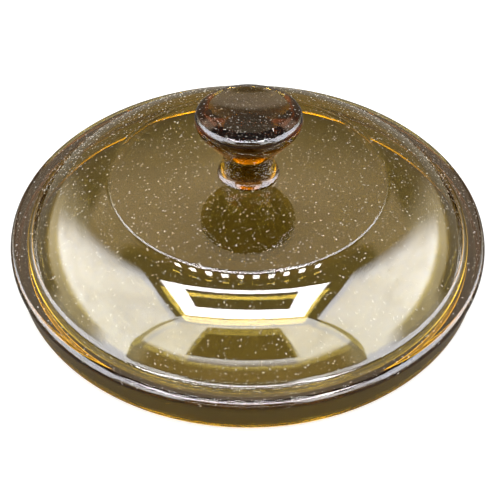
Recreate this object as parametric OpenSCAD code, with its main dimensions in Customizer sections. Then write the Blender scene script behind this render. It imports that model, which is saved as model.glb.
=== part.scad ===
// Knobbed lid of smoky amber pressed glass, for a round dish.
// Every piece is a solid of revolution about the Z axis.
// The origin is the centre of the ring that the skirt stands on, and +Z is up.

/* [Cover] */
// Outer diameter of the flange
flange_d = 200; // [160:1:240]
// Thickness of the flange
flange_t = 4.7; // [4:0.1:6]
// How far the flange stands out past the skirt
flange_lip = 0.9; // [0.8:0.1:3]
// Height of the flange's underside above the skirt's bottom edge
skirt_h = 10.9; // [8:0.1:16]
// Thickness of the skirt at its bottom edge
skirt_t = 4.6; // [3.6:0.1:6]
// Thickness of the wall at the disc and the top of the dome
wall_t = 4.4; // [3.5:0.1:6]
// Diameter of the flat disc on top of the dome
disc_d = 113.4; // [90:0.1:120]
// Height of the disc above the skirt's bottom edge
disc_h = 35; // [32:0.1:40]
// Height of the small step round the disc
disc_step = 0.5; // [0.3:0.1:1]
// Depth of the gutter between the dome and the flange's edge
gutter_depth = 1.3; // [0:0.1:2]
// Radius of the dome's outer curve
dome_r = 43.5; // [42:0.5:48]

/* [Knob] */
// Height of the knob above the disc
knob_h = 30.2; // [28:0.1:34]
// Diameter of the knob's head
head_d = 41.8; // [38:0.1:46]
// Diameter of the raised lip round the hollow in the head
lip_d = 31.4; // [26:0.1:32]
// Depth of the hollow in the head
hollow_depth = 1.6; // [1:0.1:4]
// Diameter of the knob's neck
neck_d = 21; // [19:0.1:22]
// Diameter of the flare at the knob's foot
foot_d = 25.6; // [25:0.1:27]

/* [Hidden] */
$fn = 180;

// Cover, worked out from the sizes above
flange_r = flange_d / 2;
flange_top = skirt_h + flange_t;
gutter_z = flange_top - gutter_depth;
skirt_r = flange_r - flange_lip;
skirt_draft = 0.4;                       // the mould's taper on the inside of the skirt
skirt_inner_r = skirt_r - skirt_t;
underside_z = skirt_h - 1.1;             // inside, where the skirt turns in to the dome
disc_r = disc_d / 2;
dome_top = [disc_r + disc_step, disc_h - disc_step];
slope_top = 4;                           // slope of the dome where it leaves the disc
slope_edge = 50;                         // slope of the dome above the gutter
dome_inner_r = dome_r - 2;               // the wall gets a little thinner towards the gutter
dome_inner_top = dome_top - [0, wall_t];

// Knob, worked out from the sizes above
head_r = head_d / 2;
lip_r = lip_d / 2;
neck_r = neck_d / 2;
foot_r = foot_d / 2;
foot_edge = 0.5;                         // height of the thin edge round the foot
neck_foot = foot_edge + 1.7;             // the neck and the flare would meet here if they were straight
neck_top = 0.37 * knob_h;                // and ends here, where the bowl of the head starts
bowl_corner = [0.8 * head_r, 0.61 * knob_h];
head_side = 0.79 * knob_h;               // the bowl turns up into the head's side here
shoulder = knob_h - 1.7;                 // where the head starts to slope in to the lip
hollow_r = (lip_r * lip_r + hollow_depth * hollow_depth) / (2 * hollow_depth);
hollow_angle = asin(lip_r / hollow_r);

function unit(v) = v / norm(v);

// The round that fits into the corner b of the outline a, b, c
function corner(a, b, c, r, steps = 8) =
    let (u = unit(a - b))
    let (v = unit(c - b))
    let (half = acos(u * v) / 2)
    let (centre = b + unit(u + v) * r / sin(half))
    let (start = b + u * r / tan(half) - centre)
    let (end = b + v * r / tan(half) - centre)
    let (from = atan2(start.y, start.x))
    let (turn = (atan2(end.y, end.x) - from + 540) % 360 - 180)
    [for (i = [0 : steps]) centre + r * [cos(from + turn * i / steps), sin(from + turn * i / steps)]];

// An outline of [x, y, radius] corners, where a radius of 0 keeps the corner sharp
function rounded(pts) =
    let (n = len(pts))
    let (xy = [for (p = pts) [p[0], p[1]]])
    [for (i = [0 : n - 1])
        each (pts[i][2] == 0 ? [xy[i]]
              : corner(xy[(i + n - 1) % n], xy[i], xy[(i + 1) % n], pts[i][2]))];

// The centre of a curve of radius r that leaves the point top with the dome's first slope
function dome_centre(top, r) = top - r * [sin(slope_top), cos(slope_top)];

// Points down that curve, as far as the dome's last slope
function dome_arc(top, r, steps = 20) =
    [for (i = [0 : steps])
        let (slope = slope_top + (slope_edge - slope_top) * i / steps)
        let (p = dome_centre(top, r) + r * [sin(slope), cos(slope)])
        [p.x, p.y, 0]];

// Where the straight wall below that curve comes down to height z
function dome_foot(top, r, z) =
    let (end = dome_centre(top, r) + r * [sin(slope_edge), cos(slope_edge)])
    end.x + (end.y - z) / tan(slope_edge);

function backwards(list) = [for (i = [len(list) - 1 : -1 : 0]) list[i]];

cover_outline = concat(
    [[0, disc_h, 0], [disc_r, disc_h, 0.3]],
    dome_arc(dome_top, dome_r),
    [
        [dome_foot(dome_top, dome_r, gutter_z), gutter_z, 2.6],
        [flange_r, flange_top, 2.6],
        [flange_r, skirt_h, 0.7],
        [skirt_r, skirt_h, 0.2],
        [skirt_r, 0, 1.6],
        [skirt_inner_r, 0, 1.6],
        [skirt_inner_r - skirt_draft, underside_z, 1.6],
        [dome_foot(dome_inner_top, dome_inner_r, underside_z), underside_z, 3]
    ],
    backwards(dome_arc(dome_inner_top, dome_inner_r)),
    [[0, dome_inner_top.y, 0]]
);

knob_outline = concat(
    [
        [0, 0, 0],
        [foot_r, 0, 0],
        [foot_r, foot_edge, 0.3],
        [neck_r, neck_foot, 5.4],
        [neck_r, neck_top, 3],
        [bowl_corner.x, bowl_corner.y, 8],
        [head_r, head_side, 5],
        [head_r, shoulder, 2.6],
        [lip_r, knob_h, 0.8]
    ],
    [for (i = [1 : 12])
        let (angle = hollow_angle * (1 - i / 12))
        [hollow_r * sin(angle), knob_h - hollow_depth + hollow_r * (1 - cos(angle)), 0]]
);

// Pressed in one piece: disc, dome, gutter, flange and skirt
module cover() {
    color([0.43, 0.33, 0.2, 0.6])
    rotate_extrude()
    polygon(rounded(cover_outline));
}

// Solid glass, fused on to the disc
module knob() {
    color([0.36, 0.22, 0.14, 0.75])
    translate([0, 0, disc_h])
    rotate_extrude()
    polygon(rounded(knob_outline));
}

cover();
knob();
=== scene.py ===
# %% [markdown]
# # A knobbed lid of smoky amber glass
#
# The object is the lid of a round glass casserole. It is made of two pieces of glass: a pressed cover,
# with a flat disc on top, a dome, a gutter, a rounded flange and a skirt, and a solid knob that is fused
# to the disc with heat. Both are round, so both are made the same way: half of the cross-section is drawn
# as a line and spun about the Z axis, as a potter turns a shape. The finish is the hard part of glass,
# because almost all that a camera sees of it is light that was bent, mirrored or soaked up on the way.
#
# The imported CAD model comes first. Every piece below has its place and its size from it.

# %% Load the frame
import math

import bmesh
import bpy
from mathutils import Matrix, Vector


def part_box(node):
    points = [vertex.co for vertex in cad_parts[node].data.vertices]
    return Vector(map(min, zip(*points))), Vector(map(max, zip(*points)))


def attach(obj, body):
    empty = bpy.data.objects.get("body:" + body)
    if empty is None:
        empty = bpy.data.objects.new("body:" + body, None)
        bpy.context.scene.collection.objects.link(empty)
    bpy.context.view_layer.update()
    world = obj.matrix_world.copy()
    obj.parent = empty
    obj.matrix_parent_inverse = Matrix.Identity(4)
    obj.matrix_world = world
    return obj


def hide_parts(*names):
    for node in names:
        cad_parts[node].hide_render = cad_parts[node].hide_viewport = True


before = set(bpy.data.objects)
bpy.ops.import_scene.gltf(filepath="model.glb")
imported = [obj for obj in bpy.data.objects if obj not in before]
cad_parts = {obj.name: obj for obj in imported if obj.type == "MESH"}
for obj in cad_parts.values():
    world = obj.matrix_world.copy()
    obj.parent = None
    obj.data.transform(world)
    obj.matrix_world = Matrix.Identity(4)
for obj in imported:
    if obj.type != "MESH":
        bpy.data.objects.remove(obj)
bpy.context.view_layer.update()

scene = bpy.context.scene

# %% [markdown]
# ## Measures
#
# Blender works in metres and the glass was drawn in millimetres, so one value turns the one into the other.
# The overall sizes are read from the frame, so that the lid can't come out a different size. The names in
# capitals are the mould's own sizes, such as how thick the wall is.

# %% Sizes of the glass
MM = 0.001
FLANGE_T, FLANGE_LIP = 4.7, 0.9
SKIRT_H, SKIRT_T = 10.9, 4.6
SKIRT_DRAFT = 0.4
WALL_T = 4.4
DISC_R, DISC_STEP = 56.7, 0.5
GUTTER_DEPTH = 1.3

_, cover_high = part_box("cover")
knob_low, knob_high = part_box("knob")

flange_r = cover_high.x / MM
flange_top = SKIRT_H + FLANGE_T
skirt_r = flange_r - FLANGE_LIP
gutter_z = flange_top - GUTTER_DEPTH
underside_z = SKIRT_H - 1.1
disc_h = cover_high.z / MM
knob_base = knob_low.z / MM
knob_h = (knob_high.z - knob_low.z) / MM
head_r = knob_high.x / MM
print(f"flange {2 * flange_r:.1f} mm across, disc at {disc_h:.1f} mm, knob {knob_h:.1f} mm high")

# %% [markdown]
# ## Drawing half of a cross-section
#
# A cross-section is a chain of points in the XZ plane, which `bmesh` can hold as bare edges without faces.
# It could be drawn with every point of every round corner worked out by hand, but the Bevel tool does that
# better: the chain is drawn with sharp corners, and each corner is then bevelled by its own amount.
# A bevel's width is measured along the two sides, so each corner's radius is turned into a width first.
# That is done for all corners before the first bevel, because a bevelled point is gone afterwards.

# %% Outline with rounded corners
ROUND_STEPS = 7


def draw_outline(bm, corners):
    """Adds a chain of edges to bm. Each corner is (x, z, radius) in millimetres."""
    points = [bm.verts.new((x * MM, 0, z * MM)) for x, z, _ in corners]
    for start, end in zip(points, points[1:]):
        bm.edges.new((start, end))
    rounds = []
    for before, point, after, (_, _, radius) in zip(points, points[1:], points[2:], corners[1:-1]):
        half = (before.co - point.co).angle(after.co - point.co) / 2
        rounds.append((point, radius * MM / math.tan(half)))
    for point, width in rounds:
        if width > 0:
            bmesh.ops.bevel(
                bm, geom=[point], offset=width, offset_type="OFFSET", segments=ROUND_STEPS,
                profile=0.5, affect="VERTICES", material=-1,
            )


print("a round corner has", ROUND_STEPS, "steps")

# %% [markdown]
# ## Spinning it
#
# The Spin tool carries the chain once round the Z axis and leaves a face behind each edge. 240 steps are
# enough for a rim that looks round up close. The points that lie on the axis are copied 240 times, so they
# are merged, which closes the surface there. The normals are then turned outwards. At last a Weighted Normal
# modifier lets the broad faces decide the shading where they meet a small round corner. Without it a flat
# disc would mirror and bend light as if it were slightly cushioned, which shows at once in glass.
#
# Spin leaves its edges and faces in an order that can differ from run to run. The dust is strewn face by
# face, so the order is settled here, and the same grains fall in the same places every time.
#
# Each piece also says which CAD body it rides on and which CAD node it stands for.

# %% Solid of revolution
SPIN_STEPS = 240


def settle_order(bm):
    """Puts edges and faces in the order of their points, which is the same on every run."""
    bm.verts.index_update()
    count = len(bm.verts)

    def rank(element):
        places = [point.index for point in element.verts]
        return (min(places) * count + max(places)) * count + sum(places) % count

    bm.edges.sort(key=rank)
    bm.faces.sort(key=rank)


def turned_piece(name, draw, body, node):
    """Spins the outline that draw adds to a bmesh, and makes the piece that stands for the CAD node."""
    bm = bmesh.new()
    draw(bm)
    bmesh.ops.spin(
        bm, geom=bm.verts[:] + bm.edges[:], axis=(0, 0, 1), cent=(0, 0, 0), dvec=(0, 0, 0),
        angle=2 * math.pi, steps=SPIN_STEPS, use_merge=True, use_duplicate=False,
    )
    bmesh.ops.remove_doubles(bm, verts=bm.verts[:], dist=1e-6)
    bmesh.ops.recalc_face_normals(bm, faces=bm.faces[:])
    settle_order(bm)
    for face in bm.faces:
        face.smooth = True
    open_edges = sum(1 for rim in bm.edges if not rim.is_manifold)
    mesh = bpy.data.meshes.new(name)
    bm.to_mesh(mesh)
    bm.free()
    piece = bpy.data.objects.new(name, mesh)
    scene.collection.objects.link(piece)
    weighted = piece.modifiers.new("even shading", "WEIGHTED_NORMAL")
    weighted.mode = "FACE_AREA"
    weighted.weight = 100
    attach(piece, body)
    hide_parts(node)
    print(name, len(mesh.polygons), "faces,", open_edges, "open edges")
    return piece

# %% [markdown]
# ## The cover
#
# From the middle outwards, the line runs along the disc, down a small step, down the dome, through the
# gutter, round the flange, down the skirt and back inside. The dome could be a few points and one big
# bevel, but its curve is what mirrors the room, so it is worked out as a true arc: it leaves the step
# almost flat and turns until it is steep, and a straight wall carries on from there. The inside is a
# second arc, lower by the wall's thickness and a little tighter, so that the wall gets thinner towards the
# gutter, as pressed glass does.

# %% Arc of the dome
DOME_R, HOLLOW_R = 43.5, 41.5
SLOPE_TOP = math.radians(4)
SLOPE_EDGE = math.radians(50)
DOME_TOP = (DISC_R + DISC_STEP, disc_h - DISC_STEP)
HOLLOW_TOP = (DOME_TOP[0], DOME_TOP[1] - WALL_T)


def dome_arc(top, radius, steps=28):
    """Corners down an arc that starts at top with a slight slope and ends steep."""
    centre_x = top[0] - radius * math.sin(SLOPE_TOP)
    centre_z = top[1] - radius * math.cos(SLOPE_TOP)
    corners = []
    for i in range(steps + 1):
        slope = SLOPE_TOP + (SLOPE_EDGE - SLOPE_TOP) * i / steps
        x = centre_x + radius * math.sin(slope)
        z = centre_z + radius * math.cos(slope)
        corners.append((x, z, 0))
    return corners


def dome_foot(top, radius, z):
    """How far out the straight wall below the arc is when it comes down to z."""
    x, end, _ = dome_arc(top, radius)[-1]
    return x + (end - z) / math.tan(SLOPE_EDGE)


print(f"the dome comes down to the gutter {dome_foot(DOME_TOP, DOME_R, gutter_z):.1f} mm from the axis")

# %% [markdown]
# The cover's corners follow, each as a place and a radius. The gutter and the flange's top are well
# rounded, because a mould fills badly at a sharp corner. The flange's lower edge and the step over the
# skirt are tight, because there two parts of the mould meet.

# %% Pressed cover
def draw_cover(bm):
    skirt_in = skirt_r - SKIRT_T
    corners = [(0, disc_h, 0), (DISC_R, disc_h, 0.3)]
    corners += dome_arc(DOME_TOP, DOME_R)
    corners += [
        (dome_foot(DOME_TOP, DOME_R, gutter_z), gutter_z, 2.6),
        (flange_r, flange_top, 2.6),
        (flange_r, SKIRT_H, 0.7),
        (skirt_r, SKIRT_H, 0.2),
        (skirt_r, 0, 1.6),
        (skirt_in, 0, 1.6),
        (skirt_in - SKIRT_DRAFT, underside_z, 1.6),
        (dome_foot(HOLLOW_TOP, HOLLOW_R, underside_z), underside_z, 3),
    ]
    corners += reversed(dome_arc(HOLLOW_TOP, HOLLOW_R))
    corners += [(0, HOLLOW_TOP[1], 0)]
    draw_outline(bm, corners)


glass_cover = turned_piece("glass_cover", draw_cover, "root", "cover")

# %% [markdown]
# ## The knob
#
# The knob is solid: a flared foot, a neck, and a head like a shallow bowl. The top of the head slopes in
# from a shoulder to a lip, round a shallow hollow for a fingertip, which is a cap of a large ball. Heat has
# fused the knob to the disc, so no light is mirrored at the seam. Two pieces that only touch would show
# a thin film of air there. The foot is therefore let 0.3 mm into the disc: light that passes both skins is
# bent once one way and once back, and goes on as it came.

# %% Solid knob
SEAM = 0.3
FOOT_R, FOOT_EDGE = 12.8, 0.5
NECK_R = 10.5
LIP_R = 15.7
FINGER_HOLLOW, FINGER_STEPS = 1.6, 12


def finger_hollow():
    """Corners from the lip down to the middle of the hollow."""
    ball_r = (LIP_R ** 2 + FINGER_HOLLOW ** 2) / (2 * FINGER_HOLLOW)
    widest = math.asin(LIP_R / ball_r)
    corners = []
    for i in range(1, FINGER_STEPS + 1):
        angle = widest * (1 - i / FINGER_STEPS)
        rise = ball_r * (1 - math.cos(angle))
        corners.append((ball_r * math.sin(angle), knob_h - FINGER_HOLLOW + rise, 0))
    return corners


def draw_knob(bm):
    neck_low = FOOT_EDGE + 1.7
    neck_high = 0.37 * knob_h
    side_low = 0.79 * knob_h
    shoulder = knob_h - 1.7
    corners = [
        (0, -SEAM, 0),
        (FOOT_R, -SEAM, 0),
        (FOOT_R, FOOT_EDGE, 0.3),
        (NECK_R, neck_low, 5.4),
        (NECK_R, neck_high, 3),
        (0.8 * head_r, 0.61 * knob_h, 8),
        (head_r, side_low, 5),
        (head_r, shoulder, 2.6),
        (LIP_R, knob_h, 0.8),
    ]
    corners += finger_hollow()
    draw_outline(bm, [(x, z + knob_base, radius) for x, z, radius in corners])


glass_knob = turned_piece("glass_knob", draw_knob, "root", "knob")

# %% [markdown]
# ## Node helpers
#
# Materials and the surroundings are made of shader nodes. A helper that adds a node, sets its plain inputs
# and connects its linked ones keeps each recipe short enough to read.

# %% Helpers for node trees
def add_node(tree, kind, settings=None, **inputs):
    """An input goes by its name with _ for each space, or by _ and its number, as _0 for the first."""
    node = tree.nodes.new(kind)
    for name, value in (settings or {}).items():
        setattr(node, name, value)
    for name, value in inputs.items():
        socket = node.inputs[int(name[1:]) if name[1:].isdigit() else name.replace("_", " ")]
        if isinstance(value, bpy.types.NodeSocket):
            tree.links.new(value, socket)
        else:
            socket.default_value = value
    return node


def maths(tree, operation, a, b=0.0):
    return add_node(tree, "ShaderNodeMath", {"operation": operation}, _0=a, _1=b).outputs[0]

# %% [markdown]
# ## The skin of pressed glass
#
# Glass that was pressed in an iron mould and polished by flame is never quite even. Broad, very shallow
# ripples bend what it mirrors, and finger marks and washing leave faint smears that are a little less
# glossy. Both could be set in each material, but they are the same effect at two sizes, so they are made
# once as a node group with Object coordinates, and each piece of glass sets its own amounts.

# %% Node group for the glass's skin
def make_skin_group():
    group = bpy.data.node_groups.new("pressed glass skin", "ShaderNodeTree")
    for name, value in (("Ripple Size", 40.0), ("Ripple Height", 0.1), ("Smear", 0.05)):
        socket = group.interface.new_socket(name, in_out="INPUT", socket_type="NodeSocketFloat")
        socket.default_value = value
    group.interface.new_socket("Roughness", in_out="OUTPUT", socket_type="NodeSocketFloat")
    group.interface.new_socket("Normal", in_out="OUTPUT", socket_type="NodeSocketVector")
    enter = group.nodes.new("NodeGroupInput")
    leave = group.nodes.new("NodeGroupOutput")
    place = group.nodes.new("ShaderNodeTexCoord").outputs["Object"]
    ripple = add_node(
        group, "ShaderNodeTexNoise", Vector=place, Scale=enter.outputs["Ripple Size"], Detail=1.0,
    )
    bump = add_node(
        group, "ShaderNodeBump", Height=ripple.outputs["Fac"], Strength=enter.outputs["Ripple Height"],
        Distance=0.001,
    )
    smear = add_node(group, "ShaderNodeTexNoise", Vector=place, Scale=55.0, Detail=4.0, Distortion=1.5)
    patch = add_node(
        group, "ShaderNodeMapRange", Value=smear.outputs["Fac"], From_Min=0.5, From_Max=0.8,
        To_Min=0.0, To_Max=enter.outputs["Smear"],
    )
    group.links.new(patch.outputs["Result"], leave.inputs["Roughness"])
    group.links.new(bump.outputs["Normal"], leave.inputs["Normal"])
    return group


skin_group = make_skin_group()
print("skin group:", len(skin_group.nodes), "nodes")

# %% [markdown]
# ## Amber glass
#
# The colour of glass isn't on its surface. Light loses some of itself on every millimetre of its way
# through, most of the blue, less of the green and least of the red, so a thin wall looks straw-coloured and
# a thick edge looks orange or red. A tinted surface can't do that. A Volume Absorption node can: it takes
# a share of each colour away per metre, and the surface itself stays clear. Its Color input says what is
# let through, and its Density how much is taken where Color is black, so the three shares are turned into
# those two. The knob is thick all over, and its glass is taken as a little paler than the cover's.

# %% Glass material
ABSORBED = (85.0, 120.0, 330.0)  # per metre, of red, green and blue
GLASS_IOR = 1.5


def amber_glass(name, piece, ripple_size, ripple_height, smear, depth=1.0):
    material = bpy.data.materials.new(name)
    material.use_nodes = True
    tree = material.node_tree
    shader = tree.nodes["Principled BSDF"]
    shader.inputs["Base Color"].default_value = (1, 1, 1, 1)
    shader.inputs["Transmission Weight"].default_value = 1.0
    shader.inputs["IOR"].default_value = GLASS_IOR
    skin = add_node(
        tree, "ShaderNodeGroup", {"node_tree": skin_group}, Ripple_Size=ripple_size,
        Ripple_Height=ripple_height, Smear=smear,
    )
    tree.links.new(skin.outputs["Roughness"], shader.inputs["Roughness"])
    tree.links.new(skin.outputs["Normal"], shader.inputs["Normal"])
    most = max(ABSORBED)
    passed = [1 - share / most for share in ABSORBED]
    volume = add_node(
        tree, "ShaderNodeVolumeAbsorption", Color=(*passed, 1), Density=most * depth,
    )
    tree.links.new(volume.outputs["Volume"], tree.nodes["Material Output"].inputs["Volume"])
    piece.data.materials.append(material)
    print(name, "lets through per 5 mm:", [round(math.exp(-a * depth * 0.005), 2) for a in ABSORBED])


amber_glass("cover glass", glass_cover, ripple_size=38.0, ripple_height=0.12, smear=0.05)
amber_glass("knob glass", glass_knob, ripple_size=60.0, ripple_height=0.1, smear=0.04, depth=0.85)

# %% [markdown]
# ## Dust
#
# The lid has stood on a shelf, and fine pale dust has settled on everything that faces up. Dust could be
# painted as a mask in the material, but a mask in clear glass has nothing to colour. Real dust is small
# solid grains that light strikes from all sides, so it is scattered as tiny grains with Geometry Nodes.
# There are thousands of them, so one grain has only eight faces: a ball of four segments and two rings,
# which is pressed flat.

# %% One grain
def grain_shape():
    bm = bmesh.new()
    bmesh.ops.create_uvsphere(bm, u_segments=4, v_segments=2, radius=1.0)
    bmesh.ops.scale(bm, vec=(1.0, 0.45, 0.35), verts=bm.verts[:])
    mesh = bpy.data.meshes.new("grain")
    bm.to_mesh(mesh)
    bm.free()
    grain = bpy.data.objects.new("grain", mesh)
    scene.collection.objects.link(grain)
    return grain


grain = grain_shape()
grain_faces = len(grain.data.polygons)
print("a grain has", grain_faces, "faces")

# %% [markdown]
# Points are strewn over the faces that look up more than a given share, with a fixed seed, and each point
# gets a grain of its own size and turn. A random share raised to a power is small more often than large,
# so that most grains are fine and a few are coarse.

# %% Scatter grains
SIZE_LEAN = 2.2


def random_up_to(tree, most, seed):
    node = add_node(tree, "FunctionNodeRandomValue", {"data_type": "FLOAT"}, _2=0.0, _3=most, Seed=seed)
    return node.outputs[1]


def scatter_tree(density, smallest, largest, least_up, seed):
    tree = bpy.data.node_groups.new("scatter dust", "GeometryNodeTree")
    tree.interface.new_socket("Geometry", in_out="INPUT", socket_type="NodeSocketGeometry")
    tree.interface.new_socket("Geometry", in_out="OUTPUT", socket_type="NodeSocketGeometry")
    enter = tree.nodes.new("NodeGroupInput")
    leave = tree.nodes.new("NodeGroupOutput")
    normal = tree.nodes.new("GeometryNodeInputNormal")
    up = add_node(tree, "ShaderNodeSeparateXYZ", Vector=normal.outputs[0]).outputs["Z"]
    faces_up = add_node(
        tree, "FunctionNodeCompare", {"data_type": "FLOAT", "operation": "GREATER_THAN"},
        _0=up, _1=least_up,
    )
    points = add_node(
        tree, "GeometryNodeDistributePointsOnFaces", Mesh=enter.outputs[0],
        Selection=faces_up.outputs[0], Density=density, Seed=seed,
    )
    lean = maths(tree, "POWER", random_up_to(tree, 1.0, seed + 1), SIZE_LEAN)
    size = add_node(
        tree, "ShaderNodeMapRange", Value=lean, From_Min=0.0, From_Max=1.0,
        To_Min=smallest, To_Max=largest,
    )
    spin = add_node(tree, "ShaderNodeCombineXYZ", Z=random_up_to(tree, 2 * math.pi, seed + 2))
    facing = add_node(
        tree, "FunctionNodeRotateRotation", {"rotation_space": "LOCAL"},
        Rotation=points.outputs["Rotation"], _1=spin.outputs[0],
    )
    shape = add_node(tree, "GeometryNodeObjectInfo", _0=grain)
    grains = add_node(
        tree, "GeometryNodeInstanceOnPoints", Points=points.outputs["Points"],
        Instance=shape.outputs["Geometry"], Rotation=facing.outputs[0], Scale=size.outputs["Result"],
    )
    solid = add_node(tree, "GeometryNodeRealizeInstances", Geometry=grains.outputs[0])
    tree.links.new(solid.outputs[0], leave.inputs[0])
    return tree


print(f"half of the grains are in the smallest {0.5 ** SIZE_LEAN:.0%} of the range of sizes")

# %% [markdown]
# The nodes run on a working copy of the glass, and what they make is kept as a plain mesh, so no modifier
# is left. The knob's grains keep to its flat top and foot, because the sides of its head are handled.
# Dust rides with the glass.

# %% Dust on the cover and the knob
def dust_on(piece, name, density, smallest, largest, least_up, seed):
    work = bpy.data.objects.new(name + " work", piece.data)
    scene.collection.objects.link(work)
    work.modifiers.new("scatter", "NODES").node_group = scatter_tree(
        density, smallest, largest, least_up, seed
    )
    bpy.context.view_layer.update()
    made = work.evaluated_get(bpy.context.evaluated_depsgraph_get())
    dust = bpy.data.objects.new(name, bpy.data.meshes.new_from_object(made))
    scene.collection.objects.link(dust)
    bpy.data.objects.remove(work)
    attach(dust, "root")
    print(name, len(dust.data.polygons) // grain_faces, "grains")
    return dust


cover_dust = dust_on(
    glass_cover, "cover_dust", density=230000, smallest=0.00015, largest=0.00055,
    least_up=0.25, seed=3,
)
knob_dust = dust_on(
    glass_knob, "knob_dust", density=260000, smallest=0.00013, largest=0.0004,
    least_up=0.7, seed=11,
)
bpy.data.objects.remove(grain)

# %% [markdown]
# Dust is dull and pale, and no two grains are quite the same. Noise with a coarse scale gives whole grains
# their own tone, from bone white to straw.

# %% Dust material
def dust_material():
    material = bpy.data.materials.new("dust")
    material.use_nodes = True
    tree = material.node_tree
    shader = tree.nodes["Principled BSDF"]
    place = tree.nodes.new("ShaderNodeTexCoord").outputs["Object"]
    tone = add_node(tree, "ShaderNodeTexNoise", Vector=place, Scale=900.0, Detail=0.0)
    ramp = add_node(tree, "ShaderNodeValToRGB", Fac=tone.outputs["Fac"])
    ramp.color_ramp.elements[0].position = 0.3
    ramp.color_ramp.elements[0].color = (0.62, 0.5, 0.33, 1)
    ramp.color_ramp.elements[1].position = 0.6
    ramp.color_ramp.elements[1].color = (0.95, 0.93, 0.88, 1)
    tree.links.new(ramp.outputs["Color"], shader.inputs["Base Color"])
    shader.inputs["Roughness"].default_value = 0.9
    return material


dust_finish = dust_material()
for dust in (cover_dust, knob_dust):
    dust.data.materials.clear()
    dust.data.materials.append(dust_finish)

# %% [markdown]
# ## Floor
#
# A pale, plain floor that runs far past the lid, so that its edge is never in view. It lies a hair below
# the skirt, because two faces at the same height flicker through each other. Amber glass over bright white
# looks like pale lemonade. The floor that shows through a real lid is in the lid's own shade, but light is
# slow to find its way there through glass. So the floor has two tones, and a Light Path node chooses:
# a ray straight from the camera finds white that glows a little, a painted light that also lifts the lid's
# shadow on the floor to white, and a ray that came through or off the glass finds a dull grey, a painted
# shade that stands in for the shade under the lid.

# %% Stage floor
OPEN_FLOOR = (0.92, 0.92, 0.92, 1)
# painted shade: the floor's dull tone for every ray that comes through or off the glass, in place of the
# lid's shade
FLOOR_PAINTED_SHADE = (0.25, 0.235, 0.22, 1)
# painted light: a glow for camera rays only, which lifts the lid's shadow on the floor to white
FLOOR_PAINTED_GLOW = 0.35


def floor_material():
    material = bpy.data.materials.new("pale floor")
    material.use_nodes = True
    tree = material.node_tree
    shader = tree.nodes["Principled BSDF"]
    direct = tree.nodes.new("ShaderNodeLightPath").outputs["Is Camera Ray"]
    # painted shade for rays through or off the glass, white for rays straight from the camera
    tone = add_node(
        tree, "ShaderNodeMix", {"data_type": "RGBA"}, _0=direct, _6=FLOOR_PAINTED_SHADE, _7=OPEN_FLOOR,
    )
    tree.links.new(tone.outputs[2], shader.inputs["Base Color"])
    # painted light: only camera rays see the floor glow
    tree.links.new(maths(tree, "MULTIPLY", direct, FLOOR_PAINTED_GLOW), shader.inputs["Emission Strength"])
    shader.inputs["Emission Color"].default_value = (1, 1, 1, 1)
    shader.inputs["Roughness"].default_value = 0.9
    shader.inputs["Specular IOR Level"].default_value = 0.0
    return material


def make_floor(half_width=6.0, gap=0.0002):
    bm = bmesh.new()
    bmesh.ops.create_grid(bm, x_segments=1, y_segments=1, size=half_width)
    bmesh.ops.translate(bm, vec=(0, 0, -gap), verts=bm.verts[:])
    mesh = bpy.data.meshes.new("floor")
    bm.to_mesh(mesh)
    bm.free()
    mesh.materials.append(floor_material())
    floor = bpy.data.objects.new("floor", mesh)
    scene.collection.objects.link(floor)
    return floor


floor = make_floor()
print("floor", [round(size, 1) for size in floor.dimensions], "metres")

# %% [markdown]
# ## Camera
#
# The camera stands about 30 cm from the lid and looks down at it at about 45 degrees, with its
# horizon tipped by half a degree. It could be aimed with a Track To constraint, but a fixed place and two
# turns keep it still when the lid is looked at from elsewhere.

# %% Camera
def make_camera(place, pitch, roll, lens):
    """place is in millimetres. pitch is how far the camera looks down, and roll tips it, in degrees."""
    data = bpy.data.cameras.new("camera")
    data.sensor_width = 36.0
    data.lens = lens
    data.clip_start = 0.01
    camera = bpy.data.objects.new("camera", data)
    scene.collection.objects.link(camera)
    camera.location = Vector(place) * MM
    raise_up = Matrix.Rotation(math.radians(90 - pitch), 4, "X")
    tip = Matrix.Rotation(math.radians(roll), 4, "Z")
    camera.rotation_euler = (raise_up @ tip).to_euler()
    scene.camera = camera
    return camera


camera = make_camera((0.95, -227.4, 214.8), pitch=44.77, roll=0.56, lens=50.4)
print("camera at", tuple(round(v, 3) for v in camera.location))

# %% [markdown]
# ## Light
#
# Glass shows its surroundings, so they are what has to be designed. The lid stands in a white light tent:
# two bright side walls, a bright front with a dark opening that the camera looks through, a dimmer back
# wall, and a dark ceiling with a frame of light strips. Each could be a lamp, but light that reaches the
# floor through glass is slow to find and full of sparks. The tent is painted on the world's sky instead,
# by direction, and only what is mirrored or bent by glass sees it. The light that falls on the floor and on
# dust comes from a plain white sky, which a matte surface can hardly tell from a tent.
#
# The paints come first: how bright each part is in red, green and blue, where 1 shows as plain white.

# %% Paints of the tent
SOFT_SKY = (1.3, 1.3, 1.3, 1)
DARK = (0.06, 0.06, 0.065, 1)
LOW_BACK = (0.4, 0.33, 0.22, 1)
LOW_FRONT = (1.3, 0.85, 0.35, 1)
LOW_SIDE = (3.2, 2.9, 2.2, 1)
BACK_WALL = (1.9, 1.55, 1.1, 1)
FRONT_WALL = (11.0, 11.1, 11.2, 1)
OPENING = (0.5, 0.3, 0.1, 1)
SIDE_WALL = (11.3, 11.7, 12.8, 1)
CEILING = (0.2, 0.19, 0.18, 1)
STRIP = (34.0, 34.0, 36.0, 1)

# %% [markdown]
# Every direction of the sky is a vector x, y, z of length 1, and z is its height. Small helpers make masks
# from such numbers: a soft edge, a band between two edges, and the overlap of several masks. One more lays
# a paint over the light so far wherever a mask is white.

# %% Masks on the sky
world = bpy.data.worlds.new("light tent")
world.use_nodes = True
scene.world = world
tent = world.node_tree
tent.nodes.clear()
way = tent.nodes.new("ShaderNodeTexCoord").outputs["Generated"]
way_x, way_y, way_z = add_node(tent, "ShaderNodeSeparateXYZ", Vector=way).outputs


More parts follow.
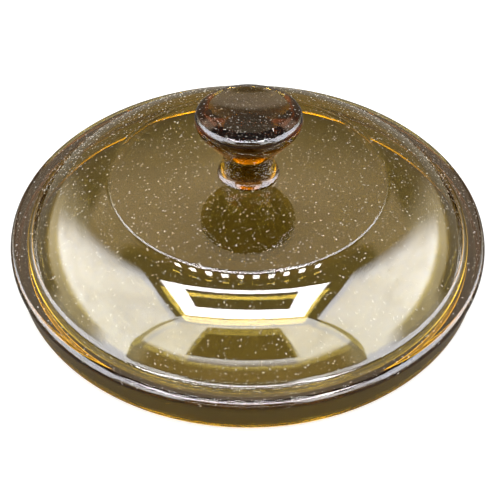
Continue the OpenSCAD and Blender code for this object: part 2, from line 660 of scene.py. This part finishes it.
def edge(value, place, soft, low=0.0, high=1.0):
    """Goes from low to high as value passes place, over soft to each side."""
    ramp = add_node(
        tent, "ShaderNodeMapRange", {"interpolation_type": "SMOOTHSTEP"}, Value=value,
        From_Min=place - soft, From_Max=place + soft, To_Min=low, To_Max=high,
    )
    return ramp.outputs["Result"]


def band(value, low, high, soft, soft_high=None):
    enter = edge(value, low, soft)
    leave = edge(value, high, soft_high or soft, 1.0, 0.0)
    return maths(tent, "MULTIPLY", enter, leave)


def overlap(first, *others):
    mask = first
    for other in others:
        mask = maths(tent, "MULTIPLY", mask, other)
    return mask


def laid_over(light, paint, mask):
    return add_node(tent, "ShaderNodeMix", {"data_type": "RGBA"}, _0=mask, _6=light, _7=paint).outputs[2]


def share(value, whole):
    """value divided by whole, where whole is kept from reaching 0."""
    return maths(tent, "DIVIDE", value, maths(tent, "MAXIMUM", whole, 0.001))


print("sky directions from", way.node.name)

# %% [markdown]
# Low down, the tent is dim and warm at the back and the front, and brighter at the sides, where its cloth
# reaches the table. The ceiling is dark.

# %% Low light, back wall and ceiling
aside = maths(tent, "ABSOLUTE", way_x)
side_u = share(way_y, aside)
side_v = share(way_z, aside)

low_back = overlap(edge(way_z, 0.0, 0.03), edge(way_y, 0.1, 0.1))
low_front = overlap(edge(way_z, 0.05, 0.06), edge(way_y, 0.0, 0.3, 1.0, 0.0))
low_side = overlap(band(side_u, -0.9, 0.9, 0.2, 0.5), edge(way_z, 0.04, 0.05))
back_wall = overlap(edge(way_y, 0.2, 0.1), band(way_z, 0.6, 0.77, 0.04, 0.02))

light = laid_over(DARK, LOW_BACK, low_back)
light = laid_over(light, LOW_FRONT, low_front)
light = laid_over(light, LOW_SIDE, low_side)
light = laid_over(light, BACK_WALL, back_wall)
light = laid_over(light, CEILING, edge(way_z, 0.78, 0.02))
print("low light:", len(tent.nodes), "nodes so far")

# %% [markdown]
# A wall of a box is easy to address by direction: on the wall ahead, x divided by the distance ahead and
# z divided by it are plain coordinates, as on a sheet of paper. Here they are called u, across, and v, up.
# The front wall hangs down to a hem, which rises to both sides of the opening. The opening is a dark
# rectangle in it.

# %% Front wall with its opening
ahead = maths(tent, "MULTIPLY", way_y, -1.0)
front_u = share(way_x, ahead)
front_v = share(way_z, ahead)

past_opening = maths(tent, "SUBTRACT", maths(tent, "ABSOLUTE", front_u), 0.5)
hem = maths(tent, "MULTIPLY", maths(tent, "MAXIMUM", past_opening, 0.0), 0.35)
above_hem = edge(maths(tent, "SUBTRACT", front_v, hem), 0.58, 0.09)
front_wall = overlap(band(front_u, -1.4, 1.3, 0.02), above_hem, edge(front_v, 3.3, 0.05, 1.0, 0.0))
opening = overlap(band(front_u, -0.57, 0.47, 0.03), band(front_v, 0.68, 2.15, 0.02, 0.1))

light = laid_over(light, FRONT_WALL, front_wall)
light = laid_over(light, OPENING, opening)
print("front wall:", len(tent.nodes), "nodes so far")

# %% [markdown]
# The side walls are addressed in the same way, and one pair of coordinates serves both, because it uses the
# distance to either side. A dark seam runs up where each of them meets the front. Cloth is never lit quite
# evenly, so a broad noise makes it a little brighter and darker in folds.

# %% Side walls, seams and folds
side_wall = overlap(band(side_u, -0.72, 0.6, 0.015, 0.25), band(side_v, 0.26, 2.08, 0.06))
seam = overlap(band(side_u, -0.79, -0.73, 0.01), band(side_v, 0.5, 2.1, 0.2))
light = laid_over(light, SIDE_WALL, side_wall)
light = laid_over(light, CEILING, maths(tent, "MULTIPLY", seam, 0.8))

cloth = add_node(tent, "ShaderNodeTexNoise", Vector=way, Scale=5.0, Detail=4.0, Distortion=1.2)
folds = add_node(
    tent, "ShaderNodeMapRange", Value=cloth.outputs["Fac"], From_Min=0.35, From_Max=0.65,
    To_Min=0.82, To_Max=1.06,
).outputs["Result"]
light = add_node(
    tent, "ShaderNodeVectorMath", {"operation": "SCALE"}, _0=light, Scale=folds,
).outputs["Vector"]
print("side walls:", len(tent.nodes), "nodes so far")

# %% [markdown]
# The frame of light strips lies on the ceiling: one rectangle with a smaller one cut out of it. It is laid
# on after the folds, because lamps don't have any.

# %% Frame of light strips
strip_u = share(way_x, way_z)
strip_v = share(way_y, way_z)
whole = overlap(band(strip_u, -0.385, 0.355, 0.014), band(strip_v, -0.275, 0.255, 0.01))
hole = overlap(band(strip_u, -0.28, 0.225, 0.01), band(strip_v, -0.115, 0.185, 0.01))
overhead = edge(way_z, 0.3, 0.02)
light = laid_over(light, STRIP, overlap(whole, maths(tent, "SUBTRACT", 1.0, hole), overhead))
print("light strips:", len(tent.nodes), "nodes so far")

# %% [markdown]
# Now the tent is shown to glass only. A Light Path node tells how a ray came here: a ray that a surface
# mirrored or let through finds the tent, as long as nothing matte was hit on the way. Every other ray finds
# the soft white sky. That includes the rays with which a surface asks how much light falls on it, which
# keeps the lighting smooth and free of sparks.

# %% Who sees the tent
path = tent.nodes.new("ShaderNodeLightPath").outputs
by_glass = maths(tent, "MAXIMUM", path["Is Glossy Ray"], path["Is Transmission Ray"])
nothing_matte = edge(path["Diffuse Depth"], 0.5, 0.1, 1.0, 0.0)
sky = laid_over(SOFT_SKY, light, maths(tent, "MULTIPLY", by_glass, nothing_matte))
background = add_node(tent, "ShaderNodeBackground", Color=sky, Strength=1.0)
world_output = tent.nodes.new("ShaderNodeOutputWorld")
tent.links.new(background.outputs[0], world_output.inputs["Surface"])
print("tent:", len(tent.nodes), "nodes")

# %% [markdown]
# ## A row of small lamps
#
# A slightly bent row of ten small lamps hangs near the lid. It could be painted on the sky too, but the sky
# is infinitely far away, and the lid's dome and its knob would mirror it alike. The real row hangs close,
# so the dome mirrors it and the hollow of the knob doesn't. It is therefore built as a row of glowing
# plates, which only mirrored and bent light can see.

# %% Lamp row
def make_lamp_row(count, spacing, behind, height, bend, width, depth):
    """In millimetres, behind the lid's middle. bend is how far the row's ends lie behind its own middle."""
    bm = bmesh.new()
    for i in range(count):
        plate = bmesh.ops.create_grid(bm, x_segments=1, y_segments=1, size=0.5)["verts"]
        bmesh.ops.scale(bm, vec=(width * MM, depth * MM, 1), verts=plate)
        step = i - (count - 1) / 2
        place = Vector((step * spacing, behind + bend * (2 * step / count) ** 2, height)) * MM
        bmesh.ops.translate(bm, vec=place, verts=plate)
    mesh = bpy.data.meshes.new("lamp_row")
    bm.to_mesh(mesh)
    bm.free()
    row = bpy.data.objects.new("lamp_row", mesh)
    scene.collection.objects.link(row)
    row.visible_camera = False
    row.visible_diffuse = False
    row.visible_shadow = False
    return row


def lamp_material():
    material = bpy.data.materials.new("lamp plates")
    material.use_nodes = True
    shader = material.node_tree.nodes["Principled BSDF"]
    shader.inputs["Base Color"].default_value = (0, 0, 0, 1)
    shader.inputs["Emission Color"].default_value = (1, 1, 1, 1)
    shader.inputs["Emission Strength"].default_value = STRIP[0]
    return material


lamp_row = make_lamp_row(10, spacing=15.5, behind=66, height=250, bend=26, width=6, depth=20)
lamp_row.data.materials.append(lamp_material())
print("lamps:", len(lamp_row.data.polygons))

# %% [markdown]
# ## Colour and light paths
#
# The Standard view keeps the floor white and the amber strong. Light crosses many skins of glass before
# it leaves the knob or the skirt, so it is given more bounces than usual.

# %% View settings
scene.view_settings.view_transform = "Standard"
scene.cycles.max_bounces = 24
scene.cycles.transmission_bounces = 24
scene.cycles.glossy_bounces = 8
scene.cycles.sample_clamp_indirect = 20.0
scene.cycles.blur_glossy = 0.3
